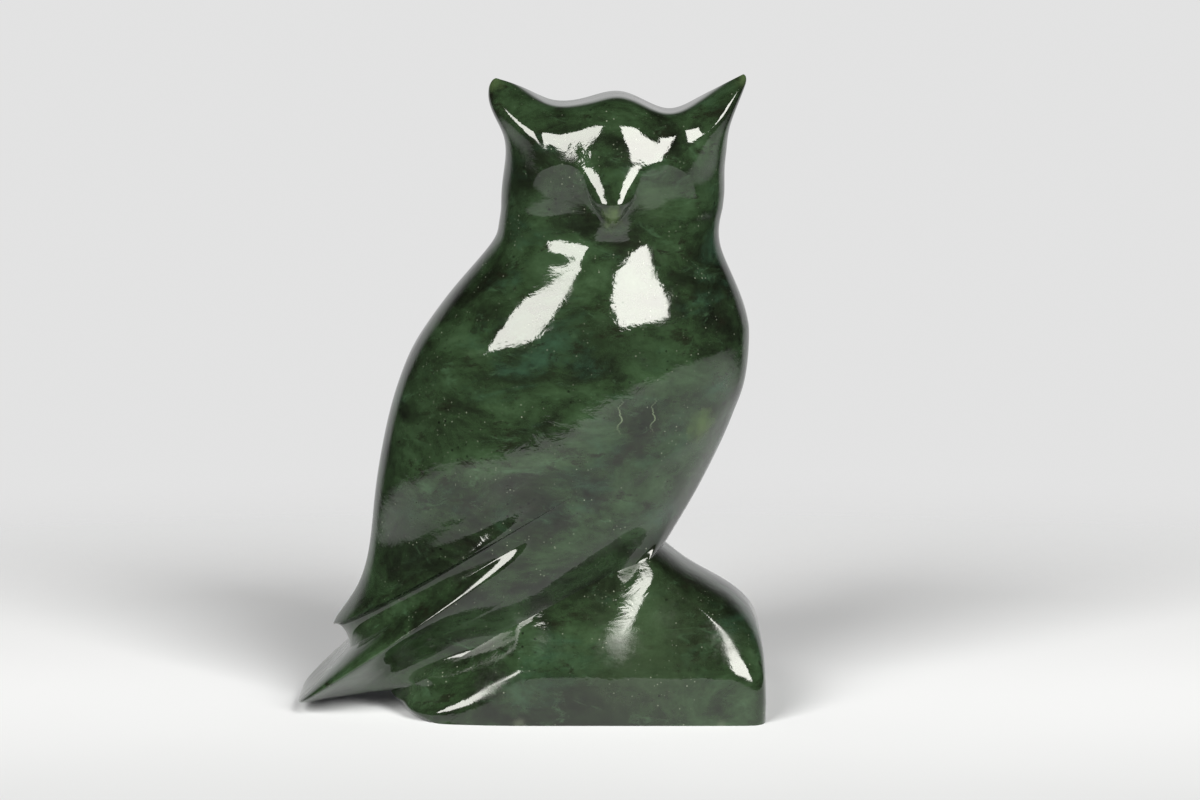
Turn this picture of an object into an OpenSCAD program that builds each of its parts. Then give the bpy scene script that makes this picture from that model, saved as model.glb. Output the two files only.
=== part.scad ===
// Polished stone owl on a rock, carved from one block and divided along its carved lines.
// Millimetres, +Z up, the face looks toward -Y, the tail points toward -X.

/* [Body] */
// Depth of the body through the folded wings
body_depth = 77; // [60:1:95]
// Depth of the neck
neck_depth = 59.8; // [50:0.1:66]
// Height of the neck above the table
neck_z = 148.5; // [130:0.5:165]
// Depth of the stone in the groove between owl and rock
seat_depth = 48; // [40:1:66]

/* [Wings and tail] */
// Reach of the tail behind the rump
tail_reach = 16.2; // [5:0.1:25]
// Drop of the tail over that reach
tail_drop = 9; // [2:0.1:10.8]
// Height of the ridge along the tail
tail_crest = 2.4; // [0:0.1:3]
// Depth of the groove under the wing edge
wing_groove = 5; // [1:0.1:8]
// Depth of the notch between wing tip and tail
wing_notch = 3.8; // [0:0.1:6]
// Depth of the hollow above the wing edge
wing_hollow = 0.7; // [0:0.1:3]

/* [Head] */
// Depth of the head
head_depth = 60.4; // [50:0.1:70]
// Sideways place of the middle of the face
face_x = 24.3; // [15:0.1:35]
// Height of the left ear tip
ear_left_z = 194.8; // [190:0.1:205]
// Height of the right ear tip
ear_right_z = 195.9; // [190:0.1:205]
// How far the ear tips lean forward
ear_lean = 12; // [0:0.5:15]
// Share of the head's depth taken off the ear tufts
ear_thin = 0.15; // [0:0.05:0.5]
// Distance between the eye hollows
eye_pitch = 29.6; // [24:0.1:36]
// Width of an eye hollow
eye_w = 22.6; // [14:0.1:26]
// Height of the deepest point of the eye hollows
eye_z = 155; // [152:0.1:160]
// Depth of an eye hollow
eye_depth = 1.5; // [0.5:0.1:3]
// Height of the beak tip
beak_tip_z = 151; // [149:0.1:156]
// Width of the beak at its root
beak_w = 21; // [10:0.5:22]
// Length of the beak up to the forehead
beak_len = 18.5; // [14:0.5:24]
// How far the beak stands out from the face
beak_out = 4; // [2:0.1:7]

/* [Rock] */
// Depth of the rock between its sawn front and back
rock_depth = 75; // [60:1:90]
// Length of the rock's underside to the right of the middle
rock_right = 71.2; // [66:0.1:80]
// Length of the rock's underside to the left of the middle
rock_left = 31; // [15:0.1:33]
// Height of the sawn faces at the rock's front and back
facet_z = 15.8; // [8:0.1:20]

/* [Facets] */
// Steps along half a rib of the body and the rock
rib_steps = 26; // [12:2:40]
// Steps along half a rib of the head
head_steps = 38; // [20:2:50]
// Rows from the neck to the ear tips
head_rows = 34; // [20:1:50]

/* [Hidden] */

body_half = body_depth / 2;
neck_half = neck_depth / 2;
seat_half = seat_depth / 2;
head_half = head_depth / 2;
rock_half = rock_depth / 2;
// Height between the ribs at the neck, and height over which the neck runs into the head.
neck_step = 6;
neck_blend = 11;

// A rib is a slice of the stone from its left outline to its right outline:
// left x, left z, right x, right z, half depth, left end shape, right end shape,
// rise in the middle, shift of the middle to the right, share by which the right end is deeper.
seat_rib = [-44.5, 4.6, 40, 50.3, seat_half, 0.50, 0.30, 6, 5, 0];

// Ribs of the owl from the seat on the rock up to the neck, the last one sets the slope there.
BODY = [
    seat_rib,
    [-51.0, 6.8, 51.3, 69.0, 0.86 * body_half, 0.48, 0.46, 4.5, 0, 0.08],
    [-57.5, 11.4, 59.4, 85.5, 0.92 * body_half, 0.18, 0.48, 4.5, 0, 0],
    [-60.0, 19.0, 62.2, 92.5, 0.955 * body_half, 0.29, 0.47, 2.5, 0, 0],
    [-62.2, 24.9, 64.7, 99.5, 0.975 * body_half, 0.64, 0.44, 1.5, 0, 0],
    [-55.5, 35.5, 66.2, 108.5, 0.992 * body_half, 0.64, 0.42, 0.8, 0, 0],
    [-51.0, 49.0, 66.5, 116.0, body_half, 0.58, 0.40, 0, 0, 0],
    [-48.7, 68.0, 66.2, 119.5, 0.995 * body_half, 0.45, 0.40, 0, 0, 0],
    [-44.5, 90.5, 65.1, 124.0, 0.975 * body_half, 0.40, 0.40, 0, 0, 0],
    [-37.0, 111.5, 62.9, 130.0, 0.944 * body_half, 0.38, 0.38, 0, 0, -0.03],
    [-24.5, 129.5, 60.0, 136.5, 0.858 * body_half, 0.43, 0.40, 0, 0, -0.045],
    [-13.5, neck_z - neck_step, 57.7, neck_z - neck_step, 1.005 * neck_half, 0.45, 0.46, 0, 0, -0.012],
    [-10.6, neck_z, 57.2, neck_z, 0.992 * neck_half, 0.45, 0.45, 0, 0, -0.03],
    [-9.8, neck_z + neck_step, 58.3, neck_z + neck_step, 0.988 * neck_half, 0.45, 0.45, 0, 0, -0.03]
];
tail_rib = 2;
notch_rib = 3;
wing_rib = 4;
neck_rib = 12;
BODY_BEND = bends(BODY);
// The tail's ridge is rounded over this many ribs at the tip and toward the breast,
// with a change between these shares of the body's length.
ridge_round = [0.14, 0.6];
ridge_fade = [0.15, 0.42];
// Middle of the owl's length, from the tail's tip to the rock's right end.
middle_x = (BODY[tail_rib][0] - tail_reach * (1 - ridge_round[0] / 2) + rock_right) / 2;

// Ribs of the rock from the table up to the seat of the owl.
ROCK = [
    [-rock_left, 0, rock_right, 0, rock_half, 0.06, 0.06, 0, 0, 0],
    [-35.5, 1.2, 71.3, 9.5, rock_half, 0.10, 0.06, 0.3, 0, 0],
    [-38.7, 2.4, 70.7, 19.0, rock_half, 0.14, 0.10, 0.8, 2, 0],
    [-41.0, 3.6, 68.2, 29.0, rock_half, 0.20, 0.26, 2, 8, 0],
    [-43.3, 4.2, 60.2, 37.0, rock_half, 0.28, 0.42, 3.5, 12, 0],
    [-44.4, 4.4, 49.6, 43.2, rock_half, 0.40, 0.44, 5, 9, 0],
    [-44.5, 4.6, 40.0, 50.3, rock_half, 0.50, 0.40, 6, 5, 0]
];
ROCK_BEND = bends(ROCK);
// Upper edge of the rock's sawn faces: it rises from this x on the left, by this much a millimetre,
// and falls away to the right of another x. The rolls are how round it is at two places.
facet_left = -34.2;
facet_rise = 0.53;
facet_right = 57;
facet_fall = 0.03;
facet_round = [6, 1.2];
facet_roll = [-30, 0];
// Above that edge the rock leans back like a roof, more at the left than at the right.
roof_back = [0.84, 0.55];
roof_ease = [-12, 6];
// A nose stands out of the roof: place and lean of its ridge, how fast it leans back and falls
// to the left, how high above the edge the fall is full, and its rounding.
nose_x = 24;
nose_z = 24;
nose_lean = 0.457;
nose_back = 0.40;
nose_left = 0.58;
nose_start = 10;
nose_round = 5;
nose_crease = 1;
// The rock's ends close this much faster than its ribs, rounded where they meet the front.
rock_close = 1.12;
close_round = 1;

// Rows of the head at even heights from one step below the neck to the ear tips:
// left x, right x, half depth, end shape.
HEAD = [
    [-13.5, 57.7, 1.03 * neck_half, 0.45],
    [-10.6, 57.2, neck_half, 0.45],
    [-9.8, 58.3, 0.983 * head_half, 0.44],
    [-9.6, 58.8, 0.985 * head_half, 0.44],
    [-8.9, 58.8, 0.985 * head_half, 0.42],
    [-8.3, 59.2, 0.983 * head_half, 0.38],
    [-9.0, 59.8, 0.975 * head_half, 0.35],
    [-11.6, 61.5, 0.97 * head_half, 0.35],
    [-13.3, 63.7, 0.965 * head_half, 0.42],
    [-12.6, 65.7, 0.95 * head_half, 0.55]
];
HEAD_BEND = bends(HEAD);
// Height of the head's upper edge at even steps from the left ear tip to the right one.
CROWN = [ear_left_z, 191.8, 187.5, 186.6, 188.2, 189.4, 186.8, 184.2, 186.8, 191.7, ear_right_z];
CROWN_BEND = bends(CROWN);
// Share of the head's height at which the top starts to round over, and how it rounds:
// the first root in the middle, the second at the ear tips,
// with a change between two shares of the half width.
dome_start = 0.38;
dome_power = 2.2;
dome_roots = [0.15, 0.5];
dome_blend = [0.6, 1];
// The right half of the brow is rounder than the left one by this much, up to near the ears.
head_turn = 0.14;
turn_rate = 4;
turn_fade = [0.6, 1];
// The ear tufts thin out and lean forward between these shares of the head's height and half width.
thin_up = [0.45, 0.85];
thin_out = [0.6, 1];
lean_up = [0.3, 1];
lean_out = [0.6, 1];
// Rounding of the ear tips, and the share of the height where it starts.
ear_round = 1.8;
round_up = 0.93;
// Shallow valley between the brow and each ear tuft: share of the depth, place, width and rise.
ear_valley = 0.012;
valley_place = 0.58;
valley_w = 0.06;
valley_up = [0.4, 0.7];
// The head's last ring lies at this share of its height, just short of a line.
crown_share = 0.999;

// The grooves fade out in two steps along the body, the first one takes this share.
fade = [0.15, 0.38, 0.65];
fade_share = 0.65;
// How quickly the tail and the notch die away toward the breast.
tail_taper = 4;
notch_taper = 6;
tail_curve = 1.05;
// The tail's ridge fades out earlier; it and the hollow above the wing edge span this many ribs.
crest_from = 0.3;
crest_to = 0.55;
crest_span = 0.55;
crest_curve = 1.3;
hollow_span = 1.7;
// Eye hollows: height above and below the deepest point, crispness of the brow,
// and how much softer the edge is below, between two shares of the height.
eye_up = 15;
eye_down = 16;
eye_edge = 1;
eye_soft = 0.8;
eye_turn = [0.3, -0.6];
// Faint hollow of the chin: place, width, height above and below, depth and softness.
chin_z = 145;
chin_w = 26;
chin_up = 10;
chin_down = 10;
chin_depth = 0.45;
chin_soft = 1.5;
// The beak's edge widens over this height, its back rounds with this power, its underside lies
// between two heights above the tip, and above it the beak sinks into the forehead with this power.
beak_widen = 8;
beak_round = 3.6;
beak_underside = [-1, 7];
beak_slope = 1.4;
beak_point = 0.5;
// The eye hollows end at this many half widths of the beak.
beak_clear = 1.25;
// Steps between the rings of a loft, in ribs.
wide_step = 0.25;
fine_step = 0.125;
// The face is worked between these distances from the middle plane.
face_near = -10;
face_far = -20;

// Ear roots: lower outer and upper inner end of the line where a tuft rises from the crown.
ear_root_left = [[-9.6, 170.5], [7.5, 187.0]];
ear_root_right = [[43.0, 184.4], [60.6, 170.5]];
// Block that takes in everything beyond an ear root.
ear_block = 60;
// The beak is let into the face up to this distance from the middle plane,
// and its piece ends at this height above the tip.
beak_seat_y = -20;
beak_piece = 21;
// The piece starts this far below the tip and its outline is stepped at this height.
beak_under = 1;
beak_step = 1.5;

// Value kept between two limits.
function clip(v, low, high) = max(low, min(high, v));
// The smaller of two values, rounded where they meet.
function soft_min(a, b, r) = (a + b - sqrt(pow(a - b, 2) + r * r)) / 2;
// How far v is above 0, rounded at 0.
function past(v, r) = (v + sqrt(v * v + r * r)) / 2;
// Value between the two of a pair, at share t.
function mix(pair, t) = pair[0] + (pair[1] - pair[0]) * t;
// Smooth step from 0 at a to 1 at b, and the same between the two of a pair.
function smooth(a, b, x) = let (t = clip((x - a) / (b - a), 0, 1)) t * t * (3 - 2 * t);
function step(pair, x) = smooth(pair[0], pair[1], x);
// Smooth turn from -1 to 1.
function swing(v) = 1 - 2 / (exp(2 * v) + 1);

// Second differences of the smooth curve through evenly spaced rows.
function bend_up(v, i, c, d, out) =
    i > len(v) - 2 ? out :
    let (k = 1 / (4 - c), e = (6 * (v[i - 1] - 2 * v[i] + v[i + 1]) - d) * k)
    bend_up(v, i + 1, k, e, concat(out, [[k, e]]));
function bend_down(f, i, m, out) =
    i < 0 ? out :
    let (n = f[i][1] - f[i][0] * m)
    bend_down(f, i - 1, n, concat([n], out));
function bends(v) =
    let (zero = 0 * v[0], f = bend_up(v, 1, 0, zero, []))
    concat([zero], bend_down(f, len(f) - 1, zero, []), [zero]);
// Row at place t on that curve.
function row_at(v, m, t) =
    let (i = min(floor(t), len(v) - 2), b = t - i, a = 1 - b)
    a * v[i] + b * v[i + 1] + ((pow(a, 3) - a) * m[i] + (pow(b, 3) - b) * m[i + 1]) / 6;

// Share of the left end at angle a along a rib, 1 at the left outline and 0 at the right.
function left_share(a) = (1 + cos(a)) / 2;

// Point on a rib; side is -1 for the front and 1 for the back.
function rib_point(r, a, side, tail, notch, groove, crest) =
    let (
        w = left_share(a),
        s = pow(sin(a), 2),
        q = r[5] * w + r[6] * (1 - w),
        first = smooth(fade[0], fade[1], 1 - w),
        second = smooth(fade[1], fade[2], 1 - w),
        cut = groove * (1 - fade_share * first - (1 - fade_share) * second),
        ridge = crest * (1 - smooth(crest_from, crest_to, 1 - w)),
        pull = tail * pow(w, tail_taper)
    )
    [
        r[0] * w + r[2] * (1 - w) + r[8] * s - pull * tail_reach + notch * pow(w, notch_taper),
        side * (r[4] * (1 + r[9] * (1 - 2 * w)) - cut + ridge) * pow(s, q),
        r[1] * w + r[3] * (1 - w) + r[7] * s - pull * tail_drop
    ];

// Point of the owl's body, from the seat at 0 to the neck.
function body_point(t, a, side) =
    let (
        below = t / tail_rib,
        above = clip((notch_rib - t) / (notch_rib - tail_rib), 0, 1),
        over = t <= tail_rib ? 2 - below : pow(above, tail_curve),
        edge = mix(ridge_round, step(ridge_fade, 1 - left_share(a))),
        tail = clip(soft_min(below, over, edge), 0, 1),
        carve = sin(180 * sqrt(clip((wing_rib - t) / (wing_rib - tail_rib), 0, 1))),
        hollow = pow(sin(180 * clip((t - wing_rib) / hollow_span, 0, 1)), 2),
        away = sqrt(pow(t - tail_rib, 2) + edge * edge) - edge,
        crest = pow(max(0, 1 - away / crest_span), crest_curve),
        p = rib_point(
            row_at(BODY, BODY_BEND, t), a, side, tail, wing_notch * carve, wing_groove * carve,
            tail_crest * crest - wing_hollow * hollow),
        seat = rock_point(len(ROCK) - 1, a, side)[1] - rib_point(seat_rib, a, side, 0, 0, 0, 0)[1]
    )
    faced([p[0], p[1] + seat * pow(clip(1 - t, 0, 1), 2), p[2]]);

// Half depth of the rock's upper surface: a roof, and a nose that stands out below the owl.
function rock_front(x, z) =
    let (
        fall = facet_fall * pow(max(x - facet_right, 0), 2),
        rise = z - clip(facet_rise * (x - facet_left), 0, facet_z) + fall,
        ridge = nose_x + nose_lean * (z - nose_z),
        left = nose_left * smooth(0, nose_start, rise) * past(ridge - x, nose_round),
        nose = rock_half - nose_back * rise - left,
        roof = rock_half - mix(roof_back, step(roof_ease, x)) * rise
    )
    -soft_min(-nose, -roof, nose_crease);
// Point of the rock, from the table at 0 to the owl's seat; it is sawn flat in front and behind.
function rock_point(t, a, side) =
    let (
        p = rib_point(row_at(ROCK, ROCK_BEND, t), a, side, 0, 0, 0, 0),
        closed = soft_min(rock_close * abs(p[1]), rock_front(p[0], p[2]), close_round),
        roll = mix(facet_round, step(facet_roll, p[0]))
    )
    [p[0], side * max(0, soft_min(closed, rock_half, roll)), p[2]];

// Share of an eye hollow's depth, for the hollow on the given side of the beak.
function eye_share(dx, z, hand) =
    let (
        ex = (dx - hand * eye_pitch / 2) / (eye_w / 2),
        ez = (z - eye_z) / (z > eye_z ? eye_up : eye_down),
        r = max(0, 1 - ex * ex - ez * ez)
    )
    pow(r, eye_edge + eye_soft * smooth(eye_turn[0], eye_turn[1], ez));
// Half width of the beak at height d above its tip.
function beak_half(d) = max(beak_point, beak_w / 2 * (1 - exp(-d / beak_widen)));
// How far the face lies behind its plain rounded surface.
function face_push(dx, z) =
    let (
        d = z - beak_tip_z,
        r = abs(dx) / beak_half(d),
        up = clip((d - beak_underside[1]) / (beak_len - beak_underside[1]), 0, 1),
        rise = beak_out * step(beak_underside, d) * pow(1 - up, beak_slope),
        beak = rise * max(0, 1 - pow(r, beak_round)),
        clear = 1 - max(0, 1 - pow(r / beak_clear, 2)),
        cx = dx / (chin_w / 2),
        cz = (z - chin_z) / (z > chin_z ? chin_up : chin_down),
        chin = chin_depth * pow(max(0, 1 - cx * cx - cz * cz), chin_soft)
    )
    eye_depth * (eye_share(dx, z, -1) + eye_share(dx, z, 1)) * clear + chin - beak;
// The point with the face worked into it.
function faced(p) =
    let (push = face_push(p[0] - face_x, p[2]) * smooth(face_near, face_far, p[1]))
    [p[0], p[1] + push, p[2]];

// Point of the head, from the neck at 0 to the crown and the ear tips at 1;
// it grows out of the body's neck.
function head_point(t, a, side) =
    let (
        r = row_at(HEAD, HEAD_BEND, 1 + t * (len(HEAD) - 2)),
        w = left_share(a),
        out = abs(cos(a)),
        top = row_at(CROWN, CROWN_BEND, (1 - w) * (len(CROWN) - 1)),
        e = clip((t - round_up) / (1 - round_up), 0, 1),
        x = r[0] * w + r[1] * (1 - w) + cos(a) * ear_round * (1 - sqrt(1 - e * e)),
        z = neck_z + (top - neck_z) * t,
        d = clip((t - dome_start) / (1 - dome_start), 0, 1),
        root = mix(dome_roots, step(dome_blend, out)),
        q = r[3] + head_turn * swing(-turn_rate * cos(a)) * (1 - step(turn_fade, out)),
        valley = ear_valley * exp(-pow((out - valley_place) / valley_w, 2)) * step(valley_up, t),
        thin = (1 - ear_thin * step(thin_up, t) * step(thin_out, out)) * (1 - valley),
        dome = pow(max(0, 1 - pow(d, dome_power)), root),
        plain = side * r[2] * thin * pow(pow(sin(a), 2), q) * dome,
        y = faced([x, plain - ear_lean * step(lean_up, t) * step(lean_out, out), z])[1],
        neck = body_point(neck_rib + clip((z - neck_z) / neck_step, 0, 1), a, side),
        away = smooth(0, neck_blend, z - neck_z)
    )
    [neck[0] + (x - neck[0]) * away, neck[1] + (y - neck[1]) * away, z];

// Ring of points around a rib: along the front from left to right and back along the far side.
function body_ring(t) = concat(
    [for (j = [0 : rib_steps]) body_point(t, 180 * j / rib_steps, -1)],
    [for (j = [rib_steps - 1 : -1 : 1]) body_point(t, 180 * j / rib_steps, 1)]);
function rock_ring(t) = concat(
    [for (j = [0 : rib_steps]) rock_point(t, 180 * j / rib_steps, -1)],
    [for (j = [rib_steps - 1 : -1 : 1]) rock_point(t, 180 * j / rib_steps, 1)]);
function head_ring(t) = concat(
    [for (j = [0 : head_steps]) head_point(t, 180 * j / head_steps, -1)],
    [for (j = [head_steps - 1 : -1 : 1]) head_point(t, 180 * j / head_steps, 1)]);

// Strip of triangles that closes a ring between its front and its back.
function lid(base, n, flip) = [
    for (j = [0 : n - 1])
        let (
            a = base + j,
            b = base + j + 1,
            c = base + (2 * n - j - 1) % (2 * n),
            d = base + (2 * n - j) % (2 * n)
        )
        each concat(
            j < n - 1 ? [flip ? [a, c, b] : [a, b, c]] : [],
            j > 0 ? [flip ? [a, d, c] : [a, c, d]] : [])
];

// Closed solid through a list of rings of 2 n points, moved so that the owl's middle is at x = 0.
module loft(rings, n) {
    m = 2 * n;
    walls = [
        for (i = [0 : len(rings) - 2], j = [0 : m - 1])
            let (
                a = i * m + j,
                b = i * m + (j + 1) % m,
                c = (i + 1) * m + (j + 1) % m,
                d = (i + 1) * m + j
            )
            each [[a, c, b], [a, d, c]]
    ];
    polyhedron(
        points = [for (r = rings, p = r) p - [middle_x, 0, 0]],
        faces = concat(walls, lid(0, n, false), lid((len(rings) - 1) * m, n, true)));
}

module rock_base() color("DarkOliveGreen")
    loft([for (t = [0 : wide_step : len(ROCK) - 1]) rock_ring(t)], rib_steps);

module tail() color("SeaGreen")
    loft([for (t = [0 : fine_step : notch_rib]) body_ring(t)], rib_steps);

module torso() color("DarkGreen")
    loft(concat(
        [for (t = [notch_rib : fine_step : wing_rib]) body_ring(t)],
        [for (t = [wing_rib + wide_step : wide_step : neck_rib]) body_ring(t)]), rib_steps);

// Whole head with tufts and beak.
module skull()
    loft([for (i = [0 : head_rows]) head_ring(min(crown_share, sin(90 * i / head_rows)))], head_steps);

// Everything beyond the line of an ear root.
module beyond_root(root) {
    run = root[1] - root[0];
    translate([root[0][0] - middle_x, 0, root[0][1]])
        rotate([0, -atan2(run[1], run[0]), 0])
            translate([-ear_block / 2, -ear_block, 0])
                cube([2 * ear_block, 2 * ear_block, ear_block]);
}

// Block around the beak down to its seat in the face.
module beak_block() {
    steps = [0 : beak_step : beak_piece];
    right = [for (d = steps) [beak_half(d), beak_tip_z - beak_under + d]];
    left = [for (d = steps) [-beak_half(beak_piece - d), beak_tip_z - beak_under + beak_piece - d]];
    translate([face_x - middle_x, beak_seat_y, 0])
        rotate([90, 0, 0])
            linear_extrude(ear_block)
                polygon(concat(right, left));
}

module head() color("ForestGreen")
    difference() {
        skull();
        beyond_root(ear_root_left);
        beyond_root(ear_root_right);
        beak_block();
    }

module ear_tuft_left() color("OliveDrab")
    intersection() {
        skull();
        beyond_root(ear_root_left);
    }

module ear_tuft_right() color("OliveDrab")
    intersection() {
        skull();
        beyond_root(ear_root_right);
    }

module beak() color("YellowGreen")
    intersection() {
        skull();
        beak_block();
    }

rock_base();
tail();
torso();
head();
ear_tuft_left();
ear_tuft_right();
beak();
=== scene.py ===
"""Looks of the jade owl.

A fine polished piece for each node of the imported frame, with its stone, light and camera.
"""

import math

import bpy
import numpy as np
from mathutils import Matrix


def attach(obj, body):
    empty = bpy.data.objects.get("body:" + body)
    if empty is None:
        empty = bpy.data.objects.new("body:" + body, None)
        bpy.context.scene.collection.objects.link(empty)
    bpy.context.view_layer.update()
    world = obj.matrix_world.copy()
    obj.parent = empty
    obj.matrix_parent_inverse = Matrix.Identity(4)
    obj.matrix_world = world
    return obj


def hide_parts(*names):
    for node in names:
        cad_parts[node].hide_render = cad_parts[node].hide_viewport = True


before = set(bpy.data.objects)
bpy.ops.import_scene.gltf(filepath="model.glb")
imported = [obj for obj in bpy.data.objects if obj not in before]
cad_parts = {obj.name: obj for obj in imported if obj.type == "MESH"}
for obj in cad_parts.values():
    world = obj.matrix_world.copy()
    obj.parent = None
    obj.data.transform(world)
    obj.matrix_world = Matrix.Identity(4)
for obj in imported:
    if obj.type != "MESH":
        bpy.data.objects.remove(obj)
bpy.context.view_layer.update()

MM = 0.001
TINY = 1e-12

# Sizes in millimetres, the same as in the part's source
BODY_HALF = 38.5
NECK_HALF = 29.9
SEAT_HALF = 24.0
HEAD_HALF = 30.2
ROCK_HALF = 37.5
NECK_Z = 148.5
NECK_STEP = 6.0
NECK_BLEND = 11.0
TAIL_REACH = 16.2
TAIL_DROP = 9.0
TAIL_CREST = 2.4
WING_GROOVE = 5.0
WING_NOTCH = 3.8
WING_HOLLOW = 0.7
ROCK_LEFT = 31.0
ROCK_RIGHT = 71.2
EAR_LEFT_Z = 194.8
EAR_RIGHT_Z = 195.9

# Ribs of the body, from the seat to one step above the neck: left x, left z, right x, right z,
# half depth, left end shape, right end shape, rise in the middle, shift of the middle to the right,
# share by which the right end is deeper
SEAT_RIB = [-44.5, 4.6, 40.0, 50.3, SEAT_HALF, 0.50, 0.30, 6.0, 5.0, 0]
BODY = np.array([
    SEAT_RIB,
    [-51.0, 6.8, 51.3, 69.0, 0.86 * BODY_HALF, 0.48, 0.46, 4.5, 0, 0.08],
    [-57.5, 11.4, 59.4, 85.5, 0.92 * BODY_HALF, 0.18, 0.48, 4.5, 0, 0],
    [-60.0, 19.0, 62.2, 92.5, 0.955 * BODY_HALF, 0.29, 0.47, 2.5, 0, 0],
    [-62.2, 24.9, 64.7, 99.5, 0.975 * BODY_HALF, 0.64, 0.44, 1.5, 0, 0],
    [-55.5, 35.5, 66.2, 108.5, 0.992 * BODY_HALF, 0.64, 0.42, 0.8, 0, 0],
    [-51.0, 49.0, 66.5, 116.0, BODY_HALF, 0.58, 0.40, 0, 0, 0],
    [-48.7, 68.0, 66.2, 119.5, 0.995 * BODY_HALF, 0.45, 0.40, 0, 0, 0],
    [-44.5, 90.5, 65.1, 124.0, 0.975 * BODY_HALF, 0.40, 0.40, 0, 0, 0],
    [-37.0, 111.5, 62.9, 130.0, 0.944 * BODY_HALF, 0.38, 0.38, 0, 0, -0.03],
    [-24.5, 129.5, 60.0, 136.5, 0.858 * BODY_HALF, 0.43, 0.40, 0, 0, -0.045],
    [-13.5, NECK_Z - NECK_STEP, 57.7, NECK_Z - NECK_STEP, 1.005 * NECK_HALF, 0.45, 0.46, 0, 0, -0.012],
    [-10.6, NECK_Z, 57.2, NECK_Z, 0.992 * NECK_HALF, 0.45, 0.45, 0, 0, -0.03],
    [-9.8, NECK_Z + NECK_STEP, 58.3, NECK_Z + NECK_STEP, 0.988 * NECK_HALF, 0.45, 0.45, 0, 0, -0.03],
])

# Ribs of the rock, from the table to the owl's seat, with the same columns
ROCK = np.array([
    [-ROCK_LEFT, 0, ROCK_RIGHT, 0, ROCK_HALF, 0.06, 0.06, 0, 0, 0],
    [-35.5, 1.2, 71.3, 9.5, ROCK_HALF, 0.10, 0.06, 0.3, 0, 0],
    [-38.7, 2.4, 70.7, 19.0, ROCK_HALF, 0.14, 0.10, 0.8, 2, 0],
    [-41.0, 3.6, 68.2, 29.0, ROCK_HALF, 0.20, 0.26, 2.0, 8, 0],
    [-43.3, 4.2, 60.2, 37.0, ROCK_HALF, 0.28, 0.42, 3.5, 12, 0],
    [-44.4, 4.4, 49.6, 43.2, ROCK_HALF, 0.40, 0.44, 5.0, 9, 0],
    [-44.5, 4.6, 40.0, 50.3, ROCK_HALF, 0.50, 0.40, 6.0, 5.0, 0],
])

# Carved lines of the body: ribs at the tail's ridge, the notch above it, the wing's edge and the neck
TAIL_RIB = 2.0
NOTCH_RIB = 3.0
WING_RIB = 4.0
NECK_RIB = 12.0
# Rounding of the tail's ridge, and spans of its crest and of the hollow above the wing's edge, in ribs
RIDGE_ROUND = (0.14, 0.6)
CREST_SPAN = 0.55
HOLLOW_SPAN = 1.7
# Where ridge, groove and crest fade, in shares of the way from the left outline to the right
RIDGE_FADE = (0.15, 0.42)
GROOVE_FADE = (0.15, 0.38, 0.65)
GROOVE_FADE_SHARE = 0.65
CREST_FADE = (0.3, 0.55)
# Powers of the tapers and slopes
TAIL_TAPER = 4
NOTCH_TAPER = 6
TAIL_CURVE = 1.05
CREST_CURVE = 1.3

# The row frame's origin is in the middle between the tail's tip and the rock's right end
TAIL_TIP_X = BODY[int(TAIL_RIB), 0] - TAIL_REACH * (1 - RIDGE_ROUND[0] / 2)
MIDDLE_X = (TAIL_TIP_X + ROCK_RIGHT) / 2

# Rock: sawn facet in front, roof above it, and a nose that stands out below the owl
FACET_Z = 15.8
FACET_LEFT = -34.2
FACET_RISE = 0.53
FACET_RIGHT = 57.0
FACET_FALL = 0.03
FACET_ROUND = (6.0, 1.2)
FACET_ROLL = (-30.0, 0.0)
ROOF_BACK = (0.84, 0.55)
ROOF_EASE = (-12.0, 6.0)
NOSE_X = 24.0
NOSE_Z = 24.0
NOSE_LEAN = 0.457
NOSE_BACK = 0.40
NOSE_LEFT = 0.58
NOSE_START = 10.0
NOSE_ROUND = 5.0
NOSE_CREASE = 1.0
CLOSE_SHARE = 1.12
CLOSE_ROUND = 1.0

# Head rows from one step below the neck to the ear tips: left x, right x, half depth, end shape
HEAD = np.array([
    [-13.5, 57.7, 1.03 * NECK_HALF, 0.45],
    [-10.6, 57.2, NECK_HALF, 0.45],
    [-9.8, 58.3, 0.983 * HEAD_HALF, 0.44],
    [-9.6, 58.8, 0.985 * HEAD_HALF, 0.44],
    [-8.9, 58.8, 0.985 * HEAD_HALF, 0.42],
    [-8.3, 59.2, 0.983 * HEAD_HALF, 0.38],
    [-9.0, 59.8, 0.975 * HEAD_HALF, 0.35],
    [-11.6, 61.5, 0.97 * HEAD_HALF, 0.35],
    [-13.3, 63.7, 0.965 * HEAD_HALF, 0.42],
    [-12.6, 65.7, 0.95 * HEAD_HALF, 0.55],
])
# Heights of the head's upper edge at even steps from ear tip to ear tip
CROWN = np.array([
    EAR_LEFT_Z, 191.8, 187.5, 186.6, 188.2, 189.4, 186.8, 184.2, 186.8, 191.7, EAR_RIGHT_Z])
# Closing of the front and back towards the crown; UP is a share of the height, OUT of the half width
DOME_START = 0.38
DOME_POWER = 2.2
DOME_ROOTS = (0.15, 0.5)
DOME_OUT = (0.6, 1.0)
# Ear tufts: thinner, leaning forward, rounded at the tip, with a valley between brow and tuft
EAR_THIN = 0.15
THIN_UP = (0.45, 0.85)
THIN_OUT = (0.6, 1.0)
EAR_LEAN = 12.0
LEAN_UP = (0.3, 1.0)
LEAN_OUT = (0.6, 1.0)
EAR_ROUND = 1.8
ROUND_UP = 0.93
EAR_VALLEY = 0.012
VALLEY_PLACE = 0.58
VALLEY_W = 0.06
VALLEY_UP = (0.4, 0.7)
# Difference of the end shape between the left and the right side of the head
HEAD_TURN = 0.14
TURN_RATE = 4.0
TURN_OUT = (0.6, 1.0)

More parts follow.
